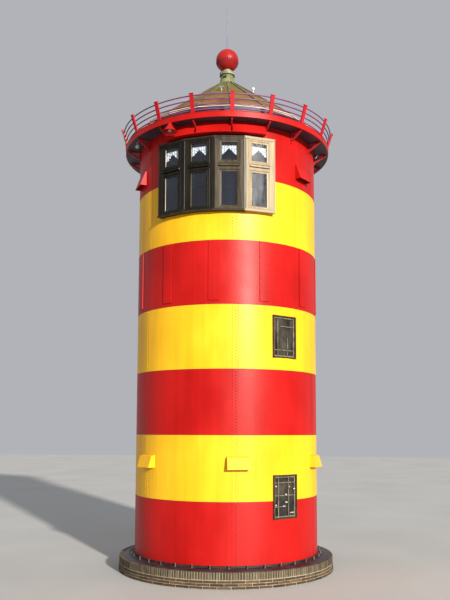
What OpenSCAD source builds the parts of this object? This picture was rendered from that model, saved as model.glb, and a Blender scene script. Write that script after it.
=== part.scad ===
// Small riveted iron lighthouse, striped in painted courses, on a round brick plinth.
// The front is -Y and the origin is on the ground, on the tower's axis.
// Azimuths are in degrees: 0 is the front, and they grow towards +X.

/* [Shell] */
// Outer radius of the plate shell
tower_r = 1850; // [1500:10:2300]
// Thickness of the shell plates
plate_t = 15; // [8:1:25]
// Height of one course of plates, which is one painted band
course_h = 1206; // [1000:1:1500]
// Azimuth of the front vertical seam, and of the vent hood over it
seam_az = 14.2; // [5:0.1:20]

/* [Plinth] */
// Height of the brick plinth
plinth_h = 283; // [200:1:500]
// How far the plinth stands out from the shell at its top
plinth_out = 296; // [200:1:450]
// How much further it stands out at the ground
plinth_batter = 14; // [0:1:60]
// Height of the top course of upright bricks
upright_h = 136; // [100:1:180]
// Depth of the upright bricks
upright_d = 84; // [60:1:120]
// How deep the shell's foot is let into the plinth
shell_bury = 24; // [10:1:60]
// Width of the masonry that carries the shell, inside it
bearing_w = 250; // [150:1:400]
// Thickness of the ground floor slab
ground_floor_t = 100; // [60:1:150]
// Height of the dark collar at the shell's foot
collar_h = 62; // [40:1:90]
// Width of the foot flange
flange_w = 110; // [80:1:150]
// Width of bare brick left outside the sloping cover
bare_rim_w = 64; // [20:1:80]

/* [Stair windows] */
// Azimuth of both stair windows
stair_window_az = 44; // [40:1:50]
// Width of a stair window
stair_window_w = 575; // [400:5:700]
// Height of a stair window
stair_window_h = 808; // [600:1:900]
// Width of the window's frame, seen from the front
stair_frame_w = 28; // [20:1:60]
// Depth of the window's frame
stair_frame_d = 90; // [60:1:120]
// Thickness of all panes
glass_t = 6; // [4:1:10]

/* [Bay window] */
// How far the corners of the bay stand out from the shell
bay_out = 100; // [85:1:150]
// Angle that one of the four flat windows spans
facet_deg = 17.4; // [15:0.1:19]
// Width of the side stiles
stile_w = 105; // [60:1:140]
// Height of the bottom rail
bottom_rail_h = 28; // [20:1:120]
// Height of the lower light
lower_light_h = 726; // [500:1:760]
// Height of the rail between the lights
transom_h = 149; // [100:1:250]
// Height of the upper light
upper_light_h = 420; // [250:1:450]
// Height of the top rail
top_rail_h = 55; // [40:1:150]
// Depth of the window frames
bay_frame_d = 60; // [50:1:75]
// Thickness of the sill and the head board
bay_board_t = 32; // [25:1:60]
// Gap between the head board and the hood over it
bay_top_gap = 37; // [5:1:60]
// How far the sill stands out from the frames
sill_out = 20; // [10:1:60]
// Thickness of the two side cheeks
cheek_deg = 0.7; // [0.5:0.1:1.5]
// Length of a curtain, from its rod down
curtain_h = 185; // [150:1:280]

/* [Watch room and gallery] */
// Thickness of the watch room's floor
room_floor_t = 100; // [60:1:150]
// Drop from the top of the shell to the underside of the gallery
gallery_drop = 158; // [100:1:250]
// How far the gallery stands out from the shell
gallery_out = 305; // [250:1:400]
// Thickness of the gallery's deck
deck_t = 50; // [30:1:80]
// Height of the gallery's rim
rim_h = 102; // [80:1:150]
// Thickness of the gallery's rim
rim_t = 15; // [8:1:25]
// Height of the posts above the rim
post_h = 344; // [300:1:500]
// How far the posts lean outwards over that height
post_lean = 115; // [60:1:150]
// Width of a post
post_w = 75; // [50:1:90]
// Depth of a post
post_d = 30; // [20:1:40]
// Number of rails
rail_count = 4; // [2:1:5]
// Thickness of a rail
rail_d = 24; // [16:1:32]
// Depth of the brackets below the deck
bracket_h = 200; // [150:1:260]
// Thickness of a bracket
bracket_t = 28; // [15:1:40]

/* [Hood over the bay] */
// Height of the sloping apron
apron_h = 234; // [180:1:240]
// How far the apron's top stands out from the shell
apron_top_out = 90; // [60:1:110]
// How far its lower edge stands out from the shell
apron_out = 180; // [150:1:220]
// Thickness of the sheet
apron_t = 5; // [3:1:8]
// Half of the angle that the apron spans
apron_half_deg = 29.2; // [25:0.1:29.5]

/* [Vent hoods and seam straps] */
// Width of a lower vent hood
lower_hood_w = 417; // [300:1:450]
// Height of a lower vent hood
lower_hood_h = 233; // [180:1:280]
// How far a lower vent hood stands out at its foot
lower_hood_out = 130; // [100:1:180]
// How far it stands out at its top
lower_hood_top = 68; // [40:1:90]
// Width of an upper vent hood
upper_hood_w = 400; // [300:1:450]
// Height of an upper vent hood
upper_hood_h = 283; // [200:1:340]
// How far an upper vent hood stands out at its foot
upper_hood_out = 115; // [80:1:160]
// How far it stands out at its top
upper_hood_top = 14; // [10:1:60]
// Thickness of the hoods' sheet
hood_t = 5; // [3:1:8]
// Width of the straps over the seams of the fifth course
strap_w = 200; // [120:1:240]
// Thickness of those straps
strap_t = 16; // [8:1:20]
// Gap between a strap's foot and the joint below it
strap_foot_gap = 69; // [40:1:120]

/* [Roof] */
// How far the roof's corners stand out from the shell at the eaves
eaves_out = 0; // [-50:1:100]
// Height of the eaves above the top of the shell
eaves_up = 199; // [150:1:260]
// Height of the pale board along the eaves
eaves_h = 50; // [30:1:80]
// Rise of the roof from the eaves to its collar
roof_rise = 1258; // [1000:1:1500]
// Radius of the roof's corners at the collar
roof_top_r = 198; // [185:1:240]
// Thickness of the roof, measured straight up
roof_t = 50; // [30:1:70]
// Width of a hip rib
rib_w = 44; // [30:1:60]
// Height of a hip rib
rib_h = 18; // [10:1:25]
// Height of the tapered collar
neck_h = 217; // [150:1:260]
// Radius of the collar's foot
neck_foot_r = 172; // [150:1:180]
// Radius of the collar's top
neck_top_r = 132; // [115:1:150]
// Radius of the flat ring on the collar
seat_r = 165; // [140:1:180]
// Height of that ring
seat_h = 60; // [40:1:80]
// Radius of the ball on top
ball_r = 244; // [200:1:280]
// Length of the lightning rod above the ball
rod_len = 955; // [600:5:1200]

/* [Small fittings] */
// Radius of the lamp shade's rim
shade_r = 135; // [100:1:150]
// Height of the lamp shade
shade_h = 165; // [120:1:180]
// Azimuth of the lamp
lamp_az = -22.3; // [-24:0.1:-18]
// Height of the globe's stem
globe_stem_h = 105; // [80:1:150]
// Radius of the globe on the roof
globe_r = 34; // [25:1:45]

/* [Hidden] */

$fn = 144;
fit = 0.3;                 // clearance where one round face lies on another
past = 20;                 // how far a cutter runs beyond what it cuts
course_count = 7;
post_count = 18;           // railing posts, brackets and roof facets

RED = "#c8201c";
YELLOW = "#f2cd22";
OLIVE = "#4a4a36";

bearing_z = plinth_h - shell_bury;
function joint_z(i) = bearing_z + i * course_h;
shell_top_z = joint_z(course_count);
plinth_r = tower_r + plinth_out;
bearing_r = tower_r - bearing_w;
floor_ledge = 100;

lower_window_z = joint_z(1) - 335;
upper_window_z = joint_z(3) + 230;

deck_z = shell_top_z - gallery_drop;
gallery_r = tower_r + gallery_out;
rim_z = deck_z + rim_h;

facets = 4;
bay_half = facets * facet_deg / 2;
bay_corner_r = tower_r + bay_out;
bay_h = bottom_rail_h + lower_light_h + transom_h + upper_light_h + top_rail_h;
bay_z = deck_z - apron_h - bay_top_gap - bay_board_t - bay_h;
facet_r = bay_corner_r * cos(facet_deg / 2);
light_w = 2 * bay_corner_r * sin(facet_deg / 2) - 2 * stile_w;
lower_light_z = bay_z + bottom_rail_h;
upper_light_z = lower_light_z + lower_light_h + transom_h;
bay_glass_back = 18;       // from the face of a frame to its pane
curtain_back = 44;         // from the face of a frame to its curtain
rod_drop = 90;             // from the top of a light to its curtain rod
curtain_rod_r = 5;
curtain_t = 4;

post_step = 360 / post_count;
lean = atan(post_lean / post_h);
post_foot_z = deck_z + deck_t;
post_rim_gap = 2;          // where a post passes the rim's upper edge
post_foot_r = gallery_r - rim_t - post_rim_gap - (rim_z - post_foot_z) * tan(lean)
    - post_d / 2 / cos(lean);

eaves_r = tower_r + eaves_out;
eaves_z = shell_top_z + eaves_up;
roof_z = eaves_z + eaves_h;
roof_top_z = roof_z + roof_rise;
roof_slope = roof_rise / (eaves_r - roof_top_r);
function roof_surface_z(r) = roof_z + roof_slope * (eaves_r - r);
curb_w = 85;
board_w = 110;
neck_t = 10;
seat_z = roof_top_z + neck_h;
stem_r = 90;
ball_z = seat_z + seat_h + 49 + ball_r;
ball_t = 6;

// A ring of rectangular section about the tower's axis
module ring(r_in, r_out, z_low, z_high) {
    translate([0, 0, z_low]) difference() {
        cylinder(r = r_out, h = z_high - z_low);
        translate([0, 0, -past]) cylinder(r = r_in, h = z_high - z_low + 2 * past);
    }
}

// A wedge from the axis outwards between two azimuths
module sector(az_low, az_high, z_low, z_high) {
    reach = 3 * tower_r;
    translate([0, 0, z_low]) linear_extrude(height = z_high - z_low)
        polygon([[0, 0], [reach * sin(az_low), -reach * cos(az_low)],
                 [reach * sin(az_high), -reach * cos(az_high)]]);
}

// A block with its outer face a distance r from the axis, at azimuth az
module block(az, r, w, d, z_low, z_high) {
    rotate([0, 0, az]) translate([-w / 2, -r, z_low]) cube([w, d, z_high - z_low]);
}

// A flat profile of (radius, height) points, w wide, set upright at azimuth az
module upright(az, w, points) {
    rotate([0, 0, az]) translate([w / 2, 0, 0]) rotate([90, 0, -90])
        linear_extrude(height = w) polygon(points);
}

module plinth_bricks() {
    ledge_z = bearing_z - ground_floor_t;
    color("tan") rotate_extrude() polygon([
        [bearing_r - floor_ledge, 0], [plinth_r + plinth_batter, 0],
        [plinth_r, plinth_h - upright_h], [plinth_r - upright_d - fit, plinth_h - upright_h],
        [plinth_r - upright_d - fit, plinth_h], [tower_r + fit, plinth_h],
        [tower_r + fit, bearing_z], [bearing_r, bearing_z],
        [bearing_r, ledge_z], [bearing_r - floor_ledge, ledge_z]]);
}

module plinth_upright_bricks() {
    color("burlywood") ring(plinth_r - upright_d, plinth_r, plinth_h - upright_h, plinth_h);
}

// A dark coat over the masonry, falling outwards from the foot flange
module plinth_cover() {
    inner = tower_r + flange_w + fit;
    color("dimgray") rotate_extrude() polygon([
        [inner, plinth_h], [plinth_r - bare_rim_w, plinth_h],
        [plinth_r - bare_rim_w, plinth_h + 4], [inner, plinth_h + 16]]);
}

module base_flange() {
    color("darkslategray") rotate_extrude() polygon([
        [tower_r + fit, plinth_h], [tower_r + flange_w, plinth_h],
        [tower_r + flange_w, plinth_h + 18], [tower_r + 18, plinth_h + 24],
        [tower_r + 18, plinth_h + collar_h], [tower_r + fit, plinth_h + collar_h]]);
}

module ground_floor() {
    color("gray") translate([0, 0, bearing_z - ground_floor_t])
        cylinder(r = bearing_r - fit, h = ground_floor_t);
}

module stair_window_hole(z) {
    block(stair_window_az, tower_r + past, stair_window_w, plate_t + 4 * past,
          z, z + stair_window_h);
}

// The wall stands 40 mm inside the bay's frames all round its opening
module bay_hole() {
    intersection() {
        ring(tower_r - plate_t - past, tower_r + past, bay_z + 40, bay_z + bay_h - 40);
        sector(-bay_half + 1.2, bay_half - 1.2, bay_z + 40, bay_z + bay_h - 40);
    }
}

// One band of plates, counted from the ground
module wall_course(i) {
    color(i % 2 == 1 ? RED : YELLOW) difference() {
        ring(tower_r - plate_t, tower_r, joint_z(i - 1), joint_z(i));
        stair_window_hole(lower_window_z);
        stair_window_hole(upper_window_z);
        bay_hole();
    }
}

module seam_straps() {
    half = asin(strap_w / 2 / tower_r);
    color(RED) for (i = [0:11]) rotate([0, 0, i * 30]) intersection() {
        ring(tower_r + fit, tower_r + strap_t, joint_z(4) + strap_foot_gap, joint_z(5));
        sector(-half, half, joint_z(4), joint_z(5) + past);
    }
}

// A wedge of sheet, open underneath, shaped to the shell behind it
module vent_hood(az, z, w, h, out_foot, out_top) {
    fall = out_top / 4;
    back = tower_r - 2 * past;
    function profile(t) = [
        [back, z - (t > 0 ? past : 0)], [tower_r + out_foot - t, z - (t > 0 ? past : 0)],
        [tower_r + out_foot - t, z], [tower_r + out_top - t, z + h - fall - t],
        [tower_r, z + h - t], [back, z + h - t]];
    difference() {
        upright(az, w, profile(0));
        upright(az, w - 2 * hood_t, profile(hood_t));
        translate([0, 0, z - past]) cylinder(r = tower_r + fit, h = h + 2 * past);
    }
}

module lower_vent_hoods() {
    color(YELLOW) for (i = [0:5])
        vent_hood(seam_az + i * 60, joint_z(1) + 585,
                  lower_hood_w, lower_hood_h, lower_hood_out, lower_hood_top);
}

// One to every sixth of the tower, apart from the front, which the bay fills
module upper_vent_hoods() {
    color(RED) for (i = [1:5])
        vent_hood(i * 60, joint_z(6) + 175,
                  upper_hood_w, upper_hood_h, upper_hood_out, upper_hood_top);
}

module stair_window(z) {
    color(OLIVE) difference() {
        block(stair_window_az, tower_r, stair_window_w - 2 * fit, stair_frame_d,
              z + fit, z + stair_window_h - fit);
        block(stair_window_az, tower_r + past, stair_window_w - 2 * stair_frame_w,
              stair_frame_d + 2 * past, z + stair_frame_w, z + stair_window_h - stair_frame_w);
    }
}

module stair_window_glass() {
    color("steelblue") for (z = [lower_window_z, upper_window_z])
        block(stair_window_az, tower_r - stair_frame_d / 2,
              stair_window_w - 2 * stair_frame_w, glass_t,
              z + stair_frame_w, z + stair_window_h - stair_frame_w);
}

module watch_room_floor() {
    color("peru") translate([0, 0, joint_z(5) - room_floor_t])
        cylinder(r = tower_r - plate_t - fit, h = room_floor_t);
}

// A board that follows the flats of the bay and lies on the shell
module bay_board(out, z) {
    end = bay_half + cheek_deg;
    corner = bay_corner_r + out;
    outline = concat(
        [[0, 0], [corner * sin(-end), -corner * cos(end)]],
        [for (i = [0:facets]) let (az = (i - facets / 2) * facet_deg)
            [corner * sin(az), -corner * cos(az)]],
        [[corner * sin(end), -corner * cos(end)]]);
    color(OLIVE) difference() {
        translate([0, 0, z]) linear_extrude(height = bay_board_t) polygon(outline);
        translate([0, 0, z - past]) cylinder(r = tower_r + fit, h = bay_board_t + 2 * past);
    }
}

module bay_sill() {
    bay_board(sill_out, bay_z - bay_board_t);
}

module bay_head() {
    bay_board(8, bay_z + bay_h);
}

module bay_cheeks() {
    color(OLIVE) for (side = [-1, 1]) intersection() {
        ring(tower_r + fit, bay_corner_r, bay_z, bay_z + bay_h);
        sector(side > 0 ? bay_half : -bay_half - cheek_deg,
               side > 0 ? bay_half + cheek_deg : -bay_half, bay_z, bay_z + bay_h);
    }
}

function facet_az(i) = (i - (facets + 1) / 2) * facet_deg;

// One flat window of the bay, mitred to its neighbours
module bay_frame(i) {
    az = facet_az(i);
    color(OLIVE) difference() {
        intersection() {
            block(az, facet_r, 2 * bay_corner_r * sin(facet_deg / 2) + past, bay_frame_d,
                  bay_z, bay_z + bay_h);
            sector(az - facet_deg / 2, az + facet_deg / 2, bay_z - past, bay_z + bay_h + past);
        }
        block(az, facet_r + past, light_w, bay_frame_d + 2 * past,
              lower_light_z, lower_light_z + lower_light_h);
        block(az, facet_r + past, light_w, bay_frame_d + 2 * past,
              upper_light_z, upper_light_z + upper_light_h);
    }
}

module bay_glass() {
    color("steelblue") for (i = [1:facets]) {
        block(facet_az(i), facet_r - bay_glass_back, light_w, glass_t,
              lower_light_z, lower_light_z + lower_light_h);
        block(facet_az(i), facet_r - bay_glass_back, light_w, glass_t,
              upper_light_z, upper_light_z + upper_light_h);
    }
}

module curtain_rods() {
    z = upper_light_z + upper_light_h - rod_drop;
    color("gainsboro") for (i = [1:facets]) rotate([0, 0, facet_az(i)])
        translate([-light_w / 2, -facet_r + curtain_back, z])
            rotate([0, 90, 0]) cylinder(r = curtain_rod_r, h = light_w);
}

module curtains() {
    z = upper_light_z + upper_light_h - rod_drop - curtain_rod_r - fit;
    color("white") for (i = [1:facets])
        block(facet_az(i), facet_r - curtain_back + curtain_t / 2, light_w - 8, curtain_t,
              z - curtain_h, z);
}

// The sloping apron under the gallery, cut round the brackets that pass through it
module bay_hood() {
    z_low = deck_z - apron_h;
    color(RED) difference() {
        intersection() {
            rotate_extrude() polygon([
                [tower_r + apron_top_out, deck_z], [tower_r + apron_top_out - apron_t, deck_z],
                [tower_r + apron_out - apron_t, z_low + apron_t],
                [tower_r + fit, z_low + apron_t], [tower_r + fit, z_low],
                [tower_r + apron_out, z_low]]);
            sector(-apron_half_deg, apron_half_deg, z_low - past, deck_z + past);
        }
        for (side = [-1, 1])
            block(side * post_step / 2, gallery_r, bracket_t + 2, gallery_out,
                  z_low + 2 * apron_t, deck_z + past);
    }
}

module gallery_deck() {
    color("dimgray") ring(tower_r + fit, gallery_r - rim_t - fit, deck_z, deck_z + deck_t);
}

module gallery_rim() {
    color(RED) ring(gallery_r - rim_t, gallery_r, deck_z, rim_z);
}

// A knee bracket: a strut from the wall up to the deck, with a foot and a top plate
module gallery_brackets() {
    r_wall = tower_r + fit;
    r_top = gallery_r - 40;
    bar = 26;
    foot = 60;
    color(RED) for (i = [0:post_count - 1]) difference() {
        upright((i + 0.5) * post_step, bracket_t, [
            [r_wall - past, deck_z - bracket_h], [r_wall + bar, deck_z - bracket_h],
            [r_wall + bar, deck_z - bracket_h + foot / 2], [r_top, deck_z - bar],
            [r_top, deck_z], [r_wall - past, deck_z]]);
        upright((i + 0.5) * post_step, bracket_t + past, [
            [r_wall + bar, deck_z - bracket_h + foot / 2 + 1.5 * bar],
            [r_top - 2.5 * bar, deck_z - bar], [r_wall + bar, deck_z - bar]]);
        translate([0, 0, deck_z - 2 * bracket_h]) cylinder(r = r_wall, h = 3 * bracket_h);
    }
}

// A flat post that leans outwards, with a small cap
module railing_posts() {
    long = (post_h + rim_z - post_foot_z) / cos(lean);
    color(RED) for (i = [0:post_count - 1]) difference() {
        rotate([0, 0, (i + 0.5) * post_step]) translate([0, -post_foot_r, post_foot_z])
            rotate([lean, 0, 0]) {
                translate([-post_w / 2, -post_d / 2, -2 * past])
                    cube([post_w, post_d, long + 2 * past]);
                translate([-post_w / 2 - 6, -post_d / 2 - 6, long])
                    cube([post_w + 12, post_d + 12, 10]);
            }
        translate([0, 0, post_foot_z - 100]) cylinder(r = gallery_r, h = 100);
    }
}

// Rails run round on the inner side of the posts, jointed behind each of them
module gallery_rails() {
    half_joint = 0.02;
    first_post = post_step / 2 - 90;
    back = (post_d + rail_d) / 2 / cos(lean) + fit;
    color("slateblue") for (i = [1:rail_count]) {
        up = (rim_z - post_foot_z) + post_h * (i - 0.2) / (rail_count + 0.1);
        for (k = [0:post_count - 1])
            rotate([0, 0, first_post + k * post_step + half_joint])
                rotate_extrude(angle = post_step - 2 * half_joint)
                    translate([post_foot_r + up * tan(lean) - back, post_foot_z + up])
                        circle(d = rail_d, $fn = 32);
    }
}

module roof_curb() {
    color("dimgray") ring(tower_r - plate_t - fit - curb_w, tower_r - plate_t - fit,
                          deck_z, eaves_z);
}

// Corners of a regular figure with a corner over every post
function corners(r, z) = [for (i = [0:post_count - 1]) let (az = (i + 0.5) * post_step)
    [r * sin(az), -r * cos(az), z]];

// A closed band between four rings of corners: outer low, outer high, inner high, inner low
module faceted_band(rings) {
    n = post_count;
    function at(k, i) = (k % 4) * n + i % n;
    polyhedron(
        points = [for (r = rings) each r],
        faces = [for (k = [0:3]) for (i = [0:n - 1])
            [at(k, i), at(k + 1, i), at(k + 1, i + 1), at(k, i + 1)]],
        convexity = 6);
}

module eaves_board() {
    color("wheat") faceted_band([
        corners(eaves_r, eaves_z), corners(eaves_r, roof_z),
        corners(eaves_r - board_w, roof_z), corners(eaves_r - board_w, eaves_z)]);
}

module roof_shell() {
    under_r = eaves_r - roof_t / roof_slope;
    under_top_r = roof_top_r - roof_t / roof_slope;
    color("darkkhaki") faceted_band([
        corners(eaves_r, roof_z), corners(roof_top_r, roof_top_z),
        corners(under_top_r, roof_top_z), corners(under_r, roof_z)]);
}

// A strip along each hip, from the eaves to the collar
module roof_hip_ribs() {
    low = eaves_r - 12;
    high = roof_top_r + 14;
    color("olive") for (i = [0:post_count - 1]) upright((i + 0.5) * post_step, rib_w, [
        [low, roof_surface_z(low) + fit], [low, roof_surface_z(low) + rib_h],
        [high, roof_surface_z(high) + rib_h], [high, roof_surface_z(high) + fit]]);
}

module roof_neck() {
    color("darkseagreen") translate([0, 0, roof_top_z]) rotate_extrude() polygon([
        [neck_foot_r - neck_t, 0], [neck_foot_r, 0], [neck_top_r, neck_h],
        [neck_top_r - neck_t, neck_h]]);
}

// A flat ring with a short stem that enters the ball
module ball_seat() {
    color("gainsboro") translate([0, 0, seat_z]) rotate_extrude() polygon([
        [stem_r - 12, 0], [seat_r, 0], [seat_r, seat_h], [stem_r, seat_h],
        [stem_r, seat_h + 100], [stem_r - 12, seat_h + 100]]);
}

module ball_ventilator() {
    color(RED) translate([0, 0, ball_z]) difference() {
        sphere(r = ball_r);
        sphere(r = ball_r - ball_t);
        translate([0, 0, -ball_r - past]) cylinder(r = stem_r + fit, h = ball_r);
    }
}

module lightning_rod() {
    foot = 30;
    color("slategray") translate([0, 0, ball_z]) difference() {
        union() {
            translate([0, 0, ball_r - foot]) cylinder(r1 = 14, r2 = 7, h = rod_len + foot);
            translate([0, 0, ball_r - foot]) cylinder(r = 34, h = foot + 12);
        }
        sphere(r = ball_r + fit);
    }
}

// A short pipe with a cross piece on top
module roof_vent_pipe() {
    r = 925;
    z = roof_surface_z(r / cos(post_step / 2)) - roof_t / 2;
    color("white") difference() {
        translate([0, -r, z]) {
            cylinder(r = 20, h = 120);
            translate([-50, 0, 110]) rotate([0, 90, 0]) cylinder(r = 24, h = 100);
        }
        roof_prism();
    }
}

// A globe on a thin stem
module roof_globe() {
    r = 650;
    z = roof_surface_z(r) - roof_t / 2;
    color("white") difference() {
        rotate([0, 0, 65.5]) translate([0, -r, z]) {
            cylinder(r = 9, h = globe_stem_h + roof_t / 2);
            translate([0, 0, globe_stem_h + roof_t / 2]) sphere(r = globe_r);
        }
        roof_prism();
    }
}

// The space under the roof's outer surface, for trimming what stands on it
module roof_prism() {
    n = post_count;
    low = corners(eaves_r, roof_z);
    high = corners(roof_top_r, roof_top_z);
    polyhedron(points = concat(low, high),
        faces = concat(
            [for (i = [0:n - 1]) [i, i + n, (i + 1) % n + n, (i + 1) % n]],
            [[for (i = [0:n - 1]) i], [for (i = [0:n - 1]) 2 * n - 1 - i]]),
        convexity = 4);
}

shade_at_r = tower_r + apron_out + shade_r + 12;
shade_z = deck_z - 22 - shade_h;

// A cone of spun sheet with a small cap, open underneath
module lamp_shade() {
    t = 4;
    color(RED) rotate([0, 0, lamp_az]) translate([0, -shade_at_r, shade_z])
        rotate_extrude() polygon([
            [shade_r - t, 0], [shade_r, 0], [40, shade_h - 34], [30, shade_h],
            [0, shade_h], [0, shade_h - t], [30 - t, shade_h - t], [40 - t, shade_h - 34 - t]]);
}

// A pipe from the apron out to the top of the shade
module lamp_arm() {
    z = shade_z + shade_h + 11;
    slope_r = tower_r + apron_top_out + (deck_z - z) * (apron_out - apron_top_out) / apron_h;
    color(RED) rotate([0, 0, lamp_az]) {
        translate([0, -shade_at_r - 14, z]) rotate([-90, 0, 0])
            cylinder(r = 10.7, h = shade_at_r + 14 - slope_r - 12);
    }
}

plinth_bricks();
plinth_upright_bricks();
plinth_cover();
base_flange();
ground_floor();
wall_course(1);  // wall_course_1
wall_course(2);  // wall_course_2
wall_course(3);  // wall_course_3
wall_course(4);  // wall_course_4
wall_course(5);  // wall_course_5
wall_course(6);  // wall_course_6
wall_course(7);  // wall_course_7
seam_straps();
lower_vent_hoods();
upper_vent_hoods();
stair_window(lower_window_z);  // lower_stair_window
stair_window(upper_window_z);  // upper_stair_window
stair_window_glass();
watch_room_floor();
bay_sill();
bay_head();
bay_cheeks();
bay_frame(1);  // bay_frame_1
bay_frame(2);  // bay_frame_2
bay_frame(3);  // bay_frame_3
bay_frame(4);  // bay_frame_4
bay_glass();
curtain_rods();
curtains();
bay_hood();
gallery_deck();
gallery_rim();
gallery_brackets();
railing_posts();
gallery_rails();
roof_curb();
eaves_board();
roof_shell();
roof_hip_ribs();
roof_neck();
ball_seat();
ball_ventilator();
lightning_rod();
roof_vent_pipe();
roof_globe();
lamp_shade();
lamp_arm();
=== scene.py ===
import bmesh
import bpy
import numpy as np
from mathutils import Matrix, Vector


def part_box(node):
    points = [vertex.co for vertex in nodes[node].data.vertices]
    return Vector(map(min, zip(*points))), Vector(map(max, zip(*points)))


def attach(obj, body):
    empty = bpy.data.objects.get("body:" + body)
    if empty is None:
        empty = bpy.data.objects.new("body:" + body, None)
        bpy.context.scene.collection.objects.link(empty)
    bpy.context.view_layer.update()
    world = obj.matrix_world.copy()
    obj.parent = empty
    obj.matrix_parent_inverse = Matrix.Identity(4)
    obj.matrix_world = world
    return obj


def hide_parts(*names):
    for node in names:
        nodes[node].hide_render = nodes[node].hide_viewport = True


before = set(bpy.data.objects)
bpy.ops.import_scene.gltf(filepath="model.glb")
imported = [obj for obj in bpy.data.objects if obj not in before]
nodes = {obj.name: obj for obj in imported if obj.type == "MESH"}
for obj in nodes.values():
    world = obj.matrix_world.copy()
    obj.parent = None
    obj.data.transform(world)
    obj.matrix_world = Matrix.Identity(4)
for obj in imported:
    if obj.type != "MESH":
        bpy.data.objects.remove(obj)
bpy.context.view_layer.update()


# ---- Camera, light and floor ----
# The tower is seen from the ground at about four times its width, a little to the right of the
# bay's middle. A low key light from the right acts as a late sun, a soft panel gives the panes
# something pale to mirror, and the pale room fills the shadows.

STAND_OFF = 14.8
EYE_HEIGHT = 2.770
EYE_TURN, EYE_PITCH, EYE_ROLL = np.radians([7.62, 5.54, 0.17])
EYE_AZIMUTH = np.radians(7.5)

camera_data = bpy.data.cameras.new("camera")
camera_data.lens = 42.6
camera_data.sensor_width = 36
camera_data.shift_y = 0.101
camera_data.clip_end = 200
camera = bpy.data.objects.new("camera", camera_data)
bpy.context.scene.collection.objects.link(camera)
camera.location = (STAND_OFF * np.sin(EYE_AZIMUTH), -STAND_OFF * np.cos(EYE_AZIMUTH), EYE_HEIGHT)
camera.rotation_euler = (
    Matrix.Rotation(EYE_TURN, 3, "Z")
    @ Matrix.Rotation(np.pi / 2 + EYE_PITCH, 3, "X")
    @ Matrix.Rotation(EYE_ROLL, 3, "Z")
).to_euler()
bpy.context.scene.camera = camera
bpy.context.scene.view_settings.view_transform = "Standard"


def key_light(name, azimuth, elevation, strength, angle, colour):
    """A distant light that shines from an azimuth, counted from the front towards +X, and an elevation."""
    data = bpy.data.lights.new(name, "SUN")
    data.energy = strength
    data.angle = np.radians(angle)
    data.color = colour
    light = bpy.data.objects.new(name, data)
    bpy.context.scene.collection.objects.link(light)
    light.rotation_euler = (np.radians(90 - elevation), 0, np.radians(azimuth))


key_light("key", azimuth=34, elevation=17, strength=6.5, angle=2.5, colour=(1.0, 0.95, 0.86))


def soft_box(name, azimuth, distance, height, width, power, aim_height, colour):
    """A square panel light that stands at an azimuth and a distance from the axis and faces the tower."""
    data = bpy.data.lights.new(name, "AREA")
    data.shape = "RECTANGLE"
    data.size, data.size_y = width
    data.energy = power
    data.color = colour
    light = bpy.data.objects.new(name, data)
    bpy.context.scene.collection.objects.link(light)
    turn = np.radians(azimuth)
    light.location = (distance * np.sin(turn), -distance * np.cos(turn), height)
    light.rotation_euler = (np.arctan2(distance, height - aim_height), 0, turn)
    light.visible_camera = False


soft_box("soft_box", azimuth=38.5, distance=15, height=13.7, width=(3.6, 5.0), power=270,
         aim_height=7.5, colour=(1.0, 0.95, 0.90))

world = bpy.data.worlds.new("room")
bpy.context.scene.world = world
world.use_nodes = True
world.node_tree.nodes["Background"].inputs["Color"].default_value = (0.92, 0.94, 1.0, 1)
world.node_tree.nodes["Background"].inputs["Strength"].default_value = 0.48


def new_object(name, points, faces, material, smooth=False, closed=True):
    """A mesh object of the given points (n, 3) and faces, with its place in its mesh. The faces of
    closed shells are all turned outwards."""
    mesh = bpy.data.meshes.new(name)
    mesh.from_pydata(np.asarray(points, dtype=float).reshape(-1, 3).tolist(), [],
                     [list(map(int, f)) for f in faces])
    if closed:
        shells = bmesh.new()
        shells.from_mesh(mesh)
        bmesh.ops.recalc_face_normals(shells, faces=shells.faces)
        shells.to_mesh(mesh)
        shells.free()
    mesh.materials.append(material)
    mesh.polygons.foreach_set("use_smooth", np.full(len(mesh.polygons), smooth))
    mesh.update()
    made = bpy.data.objects.new(name, mesh)
    bpy.context.scene.collection.objects.link(made)
    return made


def add_node(tree, kind, inputs=(), **settings):
    """A new shader node with the given settings. Each of its inputs, by name or number, is joined to
    the output that is given for it, or else holds the given value."""
    made = tree.nodes.new("ShaderNode" + kind)
    for setting, value in settings.items():
        setattr(made, setting, value)
    for socket, value in dict(inputs).items():
        if isinstance(value, bpy.types.NodeSocket):
            tree.links.new(value, made.inputs[socket])
        else:
            made.inputs[socket].default_value = value
    return made


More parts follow.
